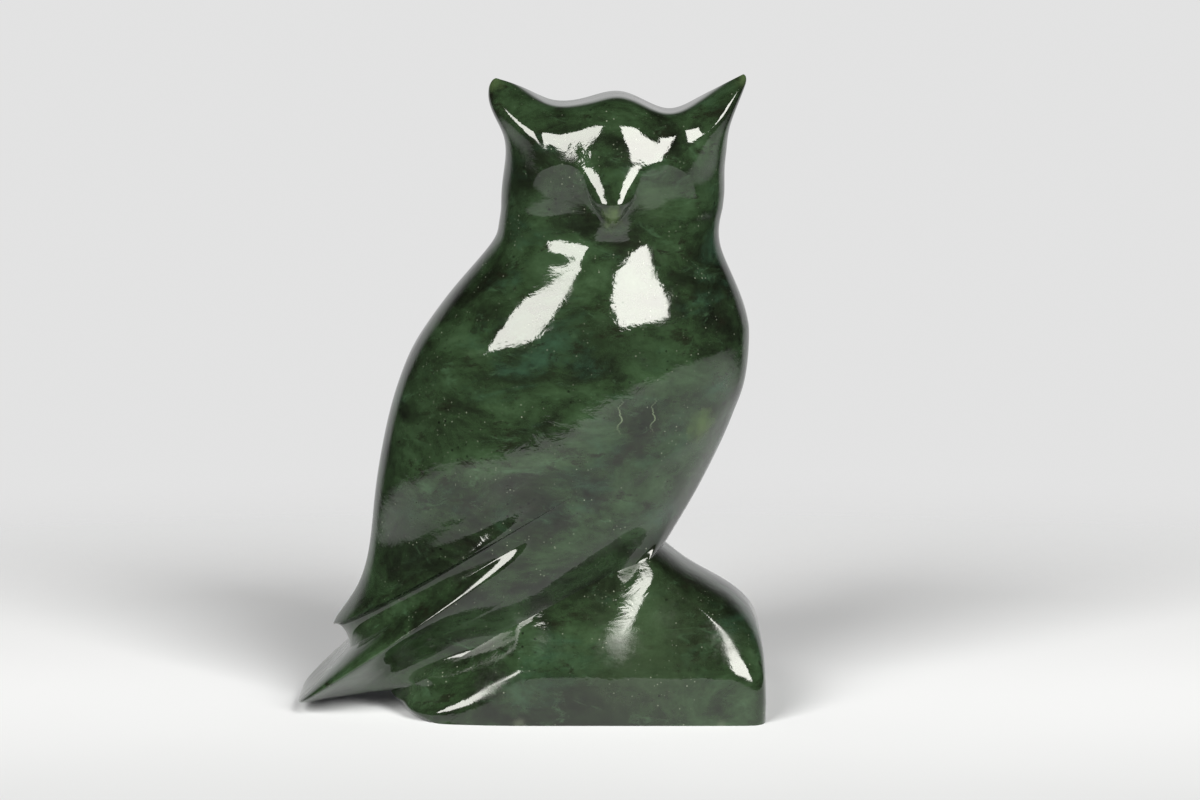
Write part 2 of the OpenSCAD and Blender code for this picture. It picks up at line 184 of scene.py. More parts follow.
# Face: eye hollows, beak and chin in millimetres, with the powers and shares that shape their edges
FACE_X = 24.3
FACE_NEAR = -10.0
FACE_FAR = -20.0
EYE_PITCH = 29.6
EYE_W = 22.6
EYE_Z = 155.0
EYE_UP = 15.0
EYE_DOWN = 16.0
EYE_DEPTH = 1.5
EYE_EDGE = 1.0
EYE_SOFT = 0.8
EYE_TURN = (0.3, -0.6)
BEAK_TIP_Z = 151.0
BEAK_W = 21.0
BEAK_LEN = 18.5
BEAK_OUT = 4.0
BEAK_WIDEN = 8.0
BEAK_POINT = 0.5
BEAK_UNDERSIDE = (-1.0, 7.0)
BEAK_ROUND = 3.6
BEAK_SLOPE = 1.4
BEAK_CLEAR = 1.25
CHIN_Z = 145.0
CHIN_W = 26.0
CHIN_REACH = 10.0
CHIN_DEPTH = 0.45
CHIN_EDGE = 1.5

# Cuts between the pieces of the head: lines of the ear roots, and the beak's seat, height and lower rim
EAR_ROOT_LEFT = ((-9.6, 170.5), (7.5, 187.0))
EAR_ROOT_RIGHT = ((43.0, 184.4), (60.6, 170.5))
BEAK_SEAT_Y = -20.0
BEAK_PIECE = 21.0
BEAK_UNDER = 1.0

# Fineness of the meshes; the head's rows lie closer together towards the crown
COLUMNS = 360
ROCK_ROWS = 130
TAIL_ROWS = 110
GROOVE_ROWS = 50
HOLLOW_ROWS = 50
BODY_ROWS = 110
HEAD_ROWS = 150
HEAD_ROWS_END = 0.97
HEAD_ROWS_POWER = 3


def linear(a, b, x):
    """Straight step from 0 at a to 1 at b."""
    return np.clip((x - a) / (b - a), 0, 1)


def smooth(a, b, x):
    """Smooth step from 0 at a to 1 at b."""
    t = linear(a, b, x)
    return t * t * (3 - 2 * t)


def mix(first, last, share):
    """Value between first and last."""
    return first + (last - first) * share


def soft_min(a, b, rounding):
    """The smaller of two values, rounded where they meet."""
    return (a + b - np.sqrt((a - b) ** 2 + rounding * rounding)) / 2


def past(value, rounding):
    """How far a value is above 0, rounded at 0."""
    return (value + np.sqrt(value * value + rounding * rounding)) / 2


def in_row_frame(points):
    """Places in metres in the row frame, from millimetres in the frame of the ribs."""
    return (np.asarray(points) - np.array([MIDDLE_X, 0, 0])) * MM


def bends(rows):
    """Second derivatives of the smooth curve through evenly spaced rows."""
    count = len(rows)
    matrix = np.eye(count)
    right = np.zeros_like(rows, dtype=float)
    for i in range(1, count - 1):
        matrix[i, i - 1:i + 2] = (1, 4, 1)
        right[i] = 6 * (rows[i - 1] - 2 * rows[i] + rows[i + 1])
    return np.linalg.solve(matrix, right)


def row_at(rows, bend, t):
    """Rows at places t on the smooth curve through rows, from its second derivatives."""
    i = np.clip(np.floor(t).astype(int), 0, len(rows) - 2)
    b = t - i
    if rows.ndim > 1:
        b = b[..., None]
    a = 1 - b
    return a * rows[i] + b * rows[i + 1] + ((a**3 - a) * bend[i] + (b**3 - b) * bend[i + 1]) / 6


BODY_BEND = bends(BODY)
ROCK_BEND = bends(ROCK)
HEAD_BEND = bends(HEAD)
CROWN_BEND = bends(CROWN)


def rib_point(rib, angle, tail=0.0, notch=0.0, groove=0.0, crest=0.0):
    """Points on ribs.

    The angle runs from the left outline along the back to the right one, and round the front.
    """
    left_x, left_z, right_x, right_z, half, *ends, bow, lean, skew = np.moveaxis(rib, -1, 0)
    middle = np.maximum(np.sin(angle) ** 2, TINY)
    left = (1 + np.cos(angle)) / 2
    right = 1 - left
    end = ends[0] * left + ends[1] * right
    pull = tail * left**TAIL_TAPER
    first_fade = GROOVE_FADE_SHARE * smooth(*GROOVE_FADE[:2], right)
    last_fade = (1 - GROOVE_FADE_SHARE) * smooth(*GROOVE_FADE[1:], right)
    carved = groove * (1 - first_fade - last_fade)
    ridge = crest * (1 - smooth(*CREST_FADE, right))
    deep = half * (1 + skew * (1 - 2 * left)) - carved + ridge
    x = left_x * left + right_x * right + lean * middle - pull * TAIL_REACH + notch * left**NOTCH_TAPER
    y = np.sign(np.sin(angle)) * deep * middle**end
    z = left_z * left + right_z * right + bow * middle - pull * TAIL_DROP
    return np.stack([x, y, z], -1)


def body_point(t, angle):
    """Points of the owl's body, from the seat at 0 to the neck."""
    right = (1 - np.cos(angle)) / 2
    below = t / TAIL_RIB
    above = linear(NOTCH_RIB, TAIL_RIB, t) ** TAIL_CURVE
    edge = mix(*RIDGE_ROUND, smooth(*RIDGE_FADE, right))
    tail = np.clip(soft_min(below, np.where(t <= TAIL_RIB, 2 - below, above), edge), 0, 1)
    carve = np.sin(np.pi * np.sqrt(linear(WING_RIB, TAIL_RIB, t)))
    hollow = np.sin(np.pi * np.clip((t - WING_RIB) / HOLLOW_SPAN, 0, 1)) ** 2
    away = np.sqrt((t - TAIL_RIB) ** 2 + edge**2) - edge
    crest = np.clip(1 - away / CREST_SPAN, 0, 1) ** CREST_CURVE
    points = rib_point(
        row_at(BODY, BODY_BEND, t), angle, tail, WING_NOTCH * carve, WING_GROOVE * carve,
        TAIL_CREST * crest - WING_HOLLOW * hollow)
    x, y, z = np.moveaxis(points, -1, 0)
    seat = rock_point(np.full_like(t, len(ROCK) - 1), angle)
    plain = rib_point(np.broadcast_to(SEAT_RIB, (*t.shape, len(SEAT_RIB))), angle)
    y = y + (seat[..., 1] - plain[..., 1]) * np.clip(1 - t, 0, 1) ** 2
    y = y + face_push(x - FACE_X, z) * smooth(FACE_NEAR, FACE_FAR, y)
    return np.stack([x, y, z], -1)


def rock_front(x, z):
    """Half depth of the rock's upper surface: a roof, and a nose that stands out below the owl."""
    facet = np.clip(FACET_RISE * (x - FACET_LEFT), 0, FACET_Z)
    rise = z - (facet - FACET_FALL * np.maximum(x - FACET_RIGHT, 0) ** 2)
    ridge = NOSE_X + NOSE_LEAN * (z - NOSE_Z)
    left = NOSE_LEFT * smooth(0, NOSE_START, rise) * past(ridge - x, NOSE_ROUND)
    nose = ROCK_HALF - NOSE_BACK * rise - left
    roof = ROCK_HALF - mix(*ROOF_BACK, smooth(*ROOF_EASE, x)) * rise
    return -soft_min(-nose, -roof, NOSE_CREASE)


def rock_point(t, angle):
    """Points of the rock, from the table at 0 to the owl's seat."""
    x, y, z = np.moveaxis(rib_point(row_at(ROCK, ROCK_BEND, t), angle), -1, 0)
    closed = soft_min(CLOSE_SHARE * np.abs(y), rock_front(x, z), CLOSE_ROUND)
    roll = mix(*FACET_ROUND, smooth(*FACET_ROLL, x))
    y = np.sign(y) * np.maximum(soft_min(closed, ROCK_HALF, roll), 0)
    return np.stack([x, y, z], -1)


def eye_share(across, z, hand):
    """Share of an eye hollow's depth, for the hollow on the given side of the beak."""
    eye_x = (across - hand * EYE_PITCH / 2) / (EYE_W / 2)
    eye_z = (z - EYE_Z) / np.where(z > EYE_Z, EYE_UP, EYE_DOWN)
    inside = np.clip(1 - eye_x * eye_x - eye_z * eye_z, 0, 1)
    return inside ** (EYE_EDGE + EYE_SOFT * smooth(*EYE_TURN, eye_z))


def beak_half(height):
    """Half width of the beak at a height above its tip."""
    return np.maximum(BEAK_POINT, BEAK_W / 2 * (1 - np.exp(-height / BEAK_WIDEN)))


def face_push(across, z):
    """How far the face lies behind its plain rounded surface."""
    height = z - BEAK_TIP_Z
    beside = np.abs(across) / beak_half(height)
    up = linear(BEAK_UNDERSIDE[1], BEAK_LEN, height)
    rise = BEAK_OUT * smooth(*BEAK_UNDERSIDE, height) * (1 - up) ** BEAK_SLOPE
    clear = 1 - np.clip(1 - (beside / BEAK_CLEAR) ** 2, 0, 1)
    eyes = EYE_DEPTH * (eye_share(across, z, -1) + eye_share(across, z, 1))
    chin_x = across / (CHIN_W / 2)
    chin_z = (z - CHIN_Z) / CHIN_REACH
    chin = CHIN_DEPTH * np.clip(1 - chin_x * chin_x - chin_z * chin_z, 0, 1) ** CHIN_EDGE
    return eyes * clear + chin - rise * np.clip(1 - beside**BEAK_ROUND, 0, 1)


def head_point(t, angle):
    """Points of the head, from the neck at 0 to the crown and the ear tips at 1."""
    rows = row_at(HEAD, HEAD_BEND, 1 + t * (len(HEAD) - 2))
    left_x, right_x, half, end = np.moveaxis(rows, -1, 0)
    across = -np.cos(angle)
    out = np.abs(across)
    left = (1 - across) / 2
    right = 1 - left
    middle = np.maximum(np.sin(angle) ** 2, TINY)
    tip = linear(ROUND_UP, 1, t)
    x = left_x * left + right_x * right - across * EAR_ROUND * (1 - np.sqrt(1 - tip * tip))
    z = mix(NECK_Z, row_at(CROWN, CROWN_BEND, right * (len(CROWN) - 1)), t)
    end = end + HEAD_TURN * np.tanh(TURN_RATE * across) * (1 - smooth(*TURN_OUT, out))
    thin = 1 - EAR_THIN * smooth(*THIN_UP, t) * smooth(*THIN_OUT, out)
    valley = EAR_VALLEY * np.exp(-((out - VALLEY_PLACE) / VALLEY_W) ** 2) * smooth(*VALLEY_UP, t)
    thin = thin * (1 - valley)
    root = mix(*DOME_ROOTS, smooth(*DOME_OUT, out))
    dome = np.maximum(1 - linear(DOME_START, 1, t) ** DOME_POWER, 0) ** root
    y = np.sign(np.sin(angle)) * half * thin * middle**end * dome
    y = y - EAR_LEAN * smooth(*LEAN_UP, t) * smooth(*LEAN_OUT, out)
    y = y + face_push(x - FACE_X, z) * smooth(FACE_NEAR, FACE_FAR, y)
    neck = body_point(NECK_RIB + linear(NECK_Z, NECK_Z + NECK_STEP, z), angle)
    away = smooth(0, NECK_BLEND, z - NECK_Z)
    x = mix(neck[..., 0], x, away)
    y = mix(neck[..., 1], y, away)
    return np.stack([x, y, z], -1)


def waves(seed, count, shortest, longest):
    """Seeded wave vectors and phases of the ripples of hand polishing; lengths in millimetres."""
    draw = np.random.default_rng(seed)
    direction = draw.normal(size=(count, 3))
    direction /= np.linalg.norm(direction, axis=1, keepdims=True)
    length = draw.uniform(shortest, longest, count)
    phase = draw.uniform(0, 2 * np.pi, count)
    return direction * (2 * np.pi / length)[:, None], phase


RIPPLES = waves(seed=7, count=14, shortest=9.0, longest=26.0)
RIPPLE_HEIGHT = 0.01


def ripple(points):
    """Height of the polishing ripples at points, in millimetres."""
    vectors, phases = RIPPLES
    return RIPPLE_HEIGHT * np.sin(points @ vectors.T + phases).sum(-1)


def grid_normals(rings):
    """Outward normals of a stack of rings, smooth round each ring."""
    along = np.gradient(rings, axis=0)
    around = np.roll(rings, -1, 1) - np.roll(rings, 1, 1)
    normals = np.cross(along, around)
    length = np.linalg.norm(normals, axis=-1, keepdims=True)
    return normals / np.maximum(length, TINY)


def rippled(rings):
    """A stack of rings with polishing ripples, and its normals."""
    rings = rings + grid_normals(rings) * ripple(rings)[..., None]
    return rings, grid_normals(rings)


def lid_faces(base, flip):
    """Faces that close a ring between its front and its back."""
    faces = []
    for j in range(COLUMNS // 2):
        corners = [base + j, base + j + 1, base + (COLUMNS - j - 1), base + (COLUMNS - j) % COLUMNS]
        face = list(dict.fromkeys(corners))
        faces.append(face[::-1] if flip else face)
    return faces


def wall_faces(rows):
    """Quads between the rings of a stack."""
    faces = []
    for i in range(rows - 1):
        low = i * COLUMNS
        high = low + COLUMNS
        for j in range(COLUMNS):
            k = (j + 1) % COLUMNS
            faces.append([low + j, high + j, high + k, low + k])
    return faces


def add_object(name, data):
    """New object in the scene."""
    made = bpy.data.objects.new(name, data)
    bpy.context.scene.collection.objects.link(made)
    return made


def make_piece(name, points, normals, smooth_faces, flat_faces):
    """Mesh object in metres in the row frame; smooth faces take the given normals."""
    mesh = bpy.data.meshes.new(name)
    mesh.from_pydata(in_row_frame(points).tolist(), [], smooth_faces + flat_faces)
    mesh.polygons.foreach_set("use_smooth", [True] * len(mesh.polygons))
    loops = np.zeros(len(mesh.loops), int)
    mesh.loops.foreach_get("vertex_index", loops)
    loop_normals = normals[loops]
    for polygon in mesh.polygons[len(smooth_faces):]:
        loop_normals[polygon.loop_start:polygon.loop_start + polygon.loop_total] = polygon.normal
    mesh.normals_split_custom_set(loop_normals.tolist())
    return add_object(name, mesh)


def stack_piece(name, points, normals):
    """Closed piece from a stack of rings."""
    rows = len(points)
    flat = lid_faces(0, False) + lid_faces((rows - 1) * COLUMNS, True)
    return make_piece(name, points.reshape(-1, 3), normals.reshape(-1, 3), wall_faces(rows), flat)


def triangles(faces):
    """Triangles of a list of faces with three or four corners."""
    out = []
    for face in faces:
        out.append(face[:3])
        if len(face) == 4:
            out.append([face[0], face[2], face[3]])
    return np.array(out)


def cut(points, normals, faces, value):
    """Cuts triangles where value is 0.

    Gives new points and normals, faces inside, faces outside and cut edges.
    """
    points = list(points)
    normals = list(normals)
    made = {}
    inside = []
    outside = []
    edges = []

    def crossing(a, b):
        """Point on the edge between two corners, made once."""
        low = min(a, b)
        high = max(a, b)
        if (low, high) not in made:
            share = value[low] / (value[low] - value[high])
            made[low, high] = len(points)
            points.append(points[low] * (1 - share) + points[high] * share)
            normal = normals[low] * (1 - share) + normals[high] * share
            normals.append(normal / np.linalg.norm(normal))
        return made[low, high]

    signs = (value[faces] > 0).sum(1)
    for face, count in zip(faces.tolist(), signs.tolist()):
        if count in (0, 3):
            (inside if count == 3 else outside).append(face)
            continue
        lone = count == 1
        k = next(i for i in range(3) if (value[face[i]] > 0) == lone)
        a, b, c = face[k], face[(k + 1) % 3], face[(k + 2) % 3]
        ab = crossing(a, b)
        ca = crossing(c, a)
        tip, rest = (inside, outside) if lone else (outside, inside)
        tip.append([a, ab, ca])
        rest.append([ab, b, c])
        rest.append([ab, c, ca])
        edges.append((ab, ca) if lone else (ca, ab))
    return np.array(points), np.array(normals), inside, outside, edges


def packed(points, normals, smooth_faces, flat_faces):
    """The same faces with only the points that they use."""
    used = sorted({v for face in smooth_faces + flat_faces for v in face})
    place = {v: i for i, v in enumerate(used)}
    smooth_new = [[place[v] for v in face] for face in smooth_faces]
    flat_new = [[place[v] for v in face] for face in flat_faces]
    return points[used], normals[used], smooth_new, flat_new


def fan(points, normals, edges, seat_y=None):
    """Closes cut edges of a piece with a fan, after walls back to seat_y where that is given."""
    faces = []
    if seat_y is not None:
        rim = sorted({v for edge in edges for v in edge})
        base = len(points)
        deep = points[rim].copy()
        deep[:, 1] = seat_y
        place = {v: base + i for i, v in enumerate(rim)}
        points = np.concatenate([points, deep])
        normals = np.concatenate([normals, normals[rim]])
        faces += [[b, a, place[a], place[b]] for a, b in edges]
        edges = [(place[a], place[b]) for a, b in edges]
    middle = points[sorted({v for edge in edges for v in edge})].mean(0)
    points = np.concatenate([points, middle[None]])
    normals = np.concatenate([normals, normals[:1]])
    faces += [[b, a, len(points) - 1] for a, b in edges]
    return points, normals, faces


def backward(faces):
    """The faces turned over."""
    return [face[::-1] for face in faces]


def beyond(points, root):
    """How far points lie beyond the line of an ear root."""
    (start_x, start_z), (end_x, end_z) = root
    along_x = end_x - start_x
    along_z = end_z - start_z
    off = (points[:, 2] - start_z) * along_x - (points[:, 0] - start_x) * along_z
    return off / math.hypot(along_x, along_z)


def on_beak(points):
    """Positive on the beak's piece of the face, in millimetres from its outline."""
    height = points[:, 2] - BEAK_TIP_Z + BEAK_UNDER
    side = beak_half(height) - np.abs(points[:, 0] - FACE_X)
    ends = np.minimum(height, BEAK_PIECE - height)
    return np.minimum(np.minimum(side, ends), BEAK_SEAT_Y - points[:, 1])


def head_pieces(rings, ring_normals):
    """Head, ear tufts and beak, divided along the ear roots and the beak's outline."""
    rows = len(rings)
    skull = triangles(wall_faces(rows) + lid_faces((rows - 1) * COLUMNS, True))
    points = rings.reshape(-1, 3)
    normals = ring_normals.reshape(-1, 3)
    flat = lid_faces(0, False)
    made = {}
    for name, root in (("ear_tuft_left", EAR_ROOT_LEFT), ("ear_tuft_right", EAR_ROOT_RIGHT)):
        points, normals, inside, outside, edges = cut(points, normals, skull, beyond(points, root))
        points, normals, cap = fan(points, normals, edges)
        made[name] = (inside, cap)
        flat += backward(cap)
        skull = np.array(outside)
    points, normals, inside, outside, edges = cut(points, normals, skull, on_beak(points))
    points, normals, cap = fan(points, normals, edges, BEAK_SEAT_Y)
    made["beak"] = (inside, cap)
    made["head"] = (outside, flat + backward(cap))
    return [make_piece(name, *packed(points, normals, *faces)) for name, faces in made.items()]


def body_rows():
    """Places of the rings of the tail and of the torso, closer together at the wing's edge."""
    ease = np.linspace(1, 0, GROOVE_ROWS) ** 2
    groove = WING_RIB - ease * (WING_RIB - NOTCH_RIB)
    hollow = WING_RIB + HOLLOW_SPAN * np.linspace(0, 1, HOLLOW_ROWS)[1:] ** 2
    upper = np.linspace(WING_RIB + HOLLOW_SPAN, NECK_RIB, BODY_ROWS)[1:]
    return np.linspace(0, NOTCH_RIB, TAIL_ROWS), np.concatenate([groove, hollow, upper])


def stack(point, places):
    """Rings of a form at the given places."""
    angle = np.linspace(0, 2 * np.pi, COLUMNS, endpoint=False)
    return point(*np.meshgrid(places, angle, indexing="ij"))


def build_owl():
    """All pieces of the owl and its rock."""
    tail_rows, torso_rows = body_rows()
    body = stack(body_point, np.concatenate([tail_rows, torso_rows[1:]]))
    head = stack(head_point, 1 - (1 - np.linspace(0, HEAD_ROWS_END, HEAD_ROWS)) ** HEAD_ROWS_POWER)
    owl, owl_normals = rippled(np.concatenate([body, head[1:]]))
    rock, rock_normals = rippled(stack(rock_point, np.linspace(0, len(ROCK) - 1, ROCK_ROWS)))
    rock[0, :, 2] = 0
    rock[-1] = owl[0]
    notch = len(tail_rows)
    neck = len(body)
    pieces = [
        stack_piece("rock_base", rock, rock_normals),
        stack_piece("tail", owl[:notch], owl_normals[:notch]),
        stack_piece("torso", owl[notch - 1:neck], owl_normals[notch - 1:neck]),
    ]
    return pieces + head_pieces(owl[neck - 1:], owl_normals[neck - 1:])


# Stone colour: noise settings are scale, detail, roughness, distortion; fields are move, turn, scale
ZERO = (0, 0, 0)
FIELDS = {
    "bands": (ZERO, (0.1, 0.3, 0.0), (0.75, 0.9, 1.25)),
    "streaks": ((0.3, 0.1, 0.2), (0.0, -0.5, 0.1), (0.6, 0.9, 1.3)),
    "specks": ((0.1, 0.4, 0.3), (0.0, 0.2, 0.0), (0.65, 0.9, 1.35)),
}
CLOUDS = (46.0, 9.0, 0.70, 0.35)
JADE_TONES = (
    (0.34, (0.0045, 0.0058, 0.0036, 1)),
    (0.43, (0.0095, 0.0150, 0.0076, 1)),
    (0.51, (0.0165, 0.0310, 0.0135, 1)),
    (0.60, (0.0265, 0.0500, 0.0230, 1)),
    (0.72, (0.0430, 0.0740, 0.0380, 1)),
)
# Dark shade, bluish patches, brown patches and pale wisps over the clouds:
# field, noise settings, noise value where the layer starts and where it is full, cover, tone
LAYERS = (
    ("bands", (17.0, 4.0, 0.5, 0.4), 0.48, 0.68, 0.7, (0.0065, 0.0085, 0.0048, 1)),
    ("streaks", (38.0, 8.0, 0.66, 0.4), 0.52, 0.76, 0.8, (0.028, 0.066, 0.040, 1)),
    ("specks", (110.0, 8.0, 0.74, 0.2), 0.54, 0.66, 0.85, (0.0085, 0.0095, 0.0055, 1)),
    ("streaks", (120.0, 9.0, 0.74, 0.9), 0.55, 0.74, 0.6, (0.050, 0.098, 0.052, 1)),
)
# Spots of the stone's own colour and spots of painted light: centre and reach in millimetres, cover,
# tone; an uneven edge between two shares of the reach
SPOT_WOBBLE = (330.0, 4.0, 0.6, 0.0)
EDGE_START = 0.45
EDGE_END = 1.45
SPOTS_AND_PAINTED_LIGHT = (
    ((32.0, -34.0, 24.0), 34.0, 0.40, (0.042, 0.066, 0.034, 1)),
    ((-48.0, -14.0, 14.0), 26.0, 0.45, (0.044, 0.076, 0.036, 1)),
    # Painted shade in the hollow above the wing's edge
    ((-36.0, -24.0, 54.0), 24.0, 0.60, (0.008, 0.011, 0.007, 1)),
    # Painted shade in and under the left eye hollow
    ((9.5, -29.0, 158.0), 13.0, 0.75, (0.007, 0.008, 0.006, 1)),
    # Painted shade on the chin under the beak's tip
    ((30.0, -31.0, 145.0), 11.0, 0.60, (0.008, 0.008, 0.006, 1)),
    # Painted shade further along the hollow above the wing's edge
    ((-6.0, -36.0, 70.0), 13.0, 0.40, (0.012, 0.013, 0.009, 1)),
    ((-28.0, -27.0, 92.0), 17.0, 0.45, (0.009, 0.014, 0.007, 1)),
    ((38.0, -34.0, 108.0), 17.0, 0.35, (0.036, 0.070, 0.032, 1)),
    # Painted reflection of the pale table in the right eye hollow
    ((39.0, -29.0, 158.0), 12.0, 0.50, (0.040, 0.070, 0.033, 1)),
    ((51.5, -23.0, 90.0), 8.0, 0.80, (0.060, 0.100, 0.032, 1)),
    # Painted light shining through the thin beak tip and the thin ear tips
    ((24.3, -33.0, 153.0), 6.0, 0.80, (0.090, 0.145, 0.050, 1)),
    ((-13.0, -11.0, 194.0), 7.0, 0.80, (0.055, 0.085, 0.035, 1)),
    ((66.0, -11.0, 195.0), 7.0, 0.80, (0.055, 0.085, 0.035, 1)),
    ((-4.0, -37.5, 0.5), 3.0, 0.50, (0.080, 0.095, 0.065, 1)),
    ((57.5, -37.5, 0.5), 2.5, 0.40, (0.080, 0.095, 0.065, 1)),
)
# Veins: centre and reach in millimetres; sway and half width too
VEINS = (((26.5, -37.0, 94.0), 7.0), ((36.5, -34.0, 94.0), 7.0))
VEIN_NOISE = (260.0, 4.0, 0.6, 0.0)
VEIN_SWAY = 9.0
VEIN_HALF = (0.06, 0.34)
VEIN_COVER = 0.5
VEIN_TONE = (0.19, 0.24, 0.15, 1)
# Pale and dark flecks: scale, cover, tone; then the dots' edge and their clusters
FLECKS = (
    (900.0, 0.20, (0.200, 0.220, 0.170, 1)),
    (480.0, 0.45, (0.002, 0.002, 0.0015, 1)),
)
FLECK_EDGE = (0.10, 0.28)
CLUSTER_SCALE = 0.13
CLUSTER_NOISE = (4.0, 0.6, 0.0)
CLUSTER_EDGE = (0.48, 0.66)

# Stone surface: wear, scuffs with centre, reach and added roughness, and relief in millimetres
STONE_IOR = 1.58
WEAR = (60.0, 6.0, 0.7, 0.6)
WEAR_EDGE = (0.45, 0.75)
POLISH = (0.045, 0.16)
SCUFF_WOBBLE = (420.0, 5.0, 0.7, 0.0)
SCUFFS = (
    ((26.0, -33.0, 24.0), 12.0, 0.26),
    ((40.0, -30.0, 32.0), 8.0, 0.12),
    ((60.0, -30.0, 25.0), 12.0, 0.28),
    ((-10.0, -34.0, 12.0), 14.0, 0.26),
    ((-15.0, -30.0, 43.0), 16.0, 0.12),
)
LAPPING_FIELD = (ZERO, (0.3, 0.5, 0.2), (0.9, 1.0, 1.15))
LAPPING = (125.0, 4.0, 0.56, 0.6)
SCRATCH_FIELD = (ZERO, (0.2, 0.7, 0.4), (0.12, 1.0, 1.6))
SCRATCHES = (1500.0, 3.0, 0.6, 0.0)
SCRATCH_SHARE = 0.03
RELIEF = 0.13

# Floor in metres: a disc of paper that fades out towards its rim, with painted light on it:
# darker in front and paler towards the back, where the lamps light it less
FLOOR_RADIUS = 1.2
FLOOR_SIDES = 96
FLOOR_PLACE = (0.02, -0.35, 0)
PAPER_ROUGHNESS = 0.9
PAPER_SHINE = 0.1
# Painted light on the paper: tones from the darker front to the paler back, where the change lies and
# its wobble
PAPER_AND_PAINTED_LIGHT_TONES = ((0.0, (0.63, 0.64, 0.675, 1)), (1.0, (0.94, 0.95, 1.0, 1)))
PAINTED_LIGHT_DEPTH = (0.14, 0.46)
PAINTED_LIGHT_CLOUDS = (3.0, 3.0, 0.5, 0.0)
PAINTED_LIGHT_SHIFT = 0.1
PAPER_FADE = (0.5, 0.85)

# Softboxes: name, azimuth and elevation in degrees, distance, width and height in metres, radiance
SOFTBOXES = (
    ("softbox_left", -29.0, 27.5, 2.6, 1.18, 1.38, 14.0),
    ("softbox_right", 28.5, 27.5, 2.6, 1.12, 1.38, 16.5),
)
LIGHT_COLOUR = (1.0, 0.99, 0.93)
LIGHT_TARGET = (0.02, 0, 0.1)

# Studio: strength from the front to the back, share of it from low to high, and what the camera sees
STUDIO_BACK = (0.64, 0.82, 0.02, 0.56)
STUDIO_LOW = (0.14, 0.5, 1.0, 0.05)
BACKDROP = 0.765

# Camera: target in millimetres in the frame of the ribs, elevation in degrees, distance in metres
CAMERA_TARGET = (20.6, 0, 94.8)
CAMERA_ELEVATION = 7.4
CAMERA_DISTANCE = 1.4
PIXELS_PER_MM = 3.24
PICTURE_WIDTH = 1200
SENSOR_WIDTH = 36


def node(tree, kind, **values):
    """New shader node with properties or socket values set by name."""
    made = tree.nodes.new(kind)
    for key, value in values.items():
        if key in made.inputs:
            made.inputs[key].default_value = value
        else:
            setattr(made, key, value)
    return made


def ramp(tree, value, stops):
    """Colour at a value, from the given stops."""
    made = node(tree, "ShaderNodeValToRGB")
    while len(made.color_ramp.elements) < len(stops):
        made.color_ramp.elements.new(0.5)
    for element, (place, colour) in zip(made.color_ramp.elements, stops):
        element.position = place
        element.color = colour
    tree.links.new(value, made.inputs["Fac"])
    return made.outputs["Color"]


def noise(tree, vector, scale, detail, roughness, distortion):
    """Noise value at a vector."""
    made = node(
        tree, "ShaderNodeTexNoise",
        Scale=scale, Detail=detail, Roughness=roughness, Distortion=distortion)
    tree.links.new(vector, made.inputs["Vector"])
    return made.outputs["Fac"]


def mapped(tree, vector, move, turn, scale):
    """Vector moved, turned and scaled."""
    made = node(tree, "ShaderNodeMapping", Location=move, Rotation=turn, Scale=scale)
    tree.links.new(vector, made.inputs["Vector"])
    return made.outputs["Vector"]


def split(tree, vector):
    """The three parts of a vector, by name."""
    made = node(tree, "ShaderNodeSeparateXYZ")
    tree.links.new(vector, made.inputs["Vector"])
    return made.outputs


def span(tree, value, low, high, first, last):
    """Smooth change from first to last while the value goes from low to high."""
    made = node(tree, "ShaderNodeMapRange", interpolation_type="SMOOTHSTEP")
    for key, number in (("From Min", low), ("From Max", high), ("To Min", first), ("To Max", last)):
        made.inputs[key].default_value = number
    tree.links.new(value, made.inputs["Value"])
    return made.outputs["Result"]


def sums(tree, operation, first, second):
    """Math node on two values; the second may be a plain number."""
    made = node(tree, "ShaderNodeMath", operation=operation)
    tree.links.new(first, made.inputs[0])
    if isinstance(second, float):
        made.inputs[1].default_value = second
    else:
        tree.links.new(second, made.inputs[1])
    return made.outputs["Value"]


def blend(tree, share, under, over):
    """Colour under, covered by the colour over as far as share says."""
    made = node(tree, "ShaderNodeMix", data_type="RGBA")
    tree.links.new(share, made.inputs["Factor"])
    tree.links.new(under, made.inputs[6])
    made.inputs[7].default_value = over
    return made.outputs[2]


def near(tree, place, centre, reach, wobble):
    """1 at a place on the stone given in millimetres, 0 beyond its reach, with an uneven edge."""
    made = node(tree, "ShaderNodeVectorMath", operation="DISTANCE")
    tree.links.new(place, made.inputs[0])
    made.inputs[1].default_value = in_row_frame(centre)
    edge = sums(tree, "MULTIPLY", wobble, reach * MM)
    away = sums(tree, "ADD", made.outputs["Value"], edge)
    return span(tree, away, EDGE_START * reach * MM, EDGE_END * reach * MM, 1.0, 0.0)


def veined(tree, place, colour):
    """Colour with the short pale veins on the breast."""
    heights = mapped(tree, place, ZERO, ZERO, (0, 0, 1))
    shift = noise(tree, heights, *VEIN_NOISE)
    bend = sums(tree, "MULTIPLY", sums(tree, "SUBTRACT", shift, 0.5), VEIN_SWAY * MM)
    swayed = sums(tree, "ADD", split(tree, place)["X"], bend)
    for centre, reach in VEINS:
        off = sums(tree, "ABSOLUTE", sums(tree, "SUBTRACT", swayed, in_row_frame(centre)[0]), 0.0)
        line = span(tree, off, VEIN_HALF[0] * MM, VEIN_HALF[1] * MM, VEIN_COVER, 0.0)
        share = sums(tree, "MULTIPLY", line, near(tree, place, centre, reach, shift))
        colour = blend(tree, share, colour, VEIN_TONE)
    return colour


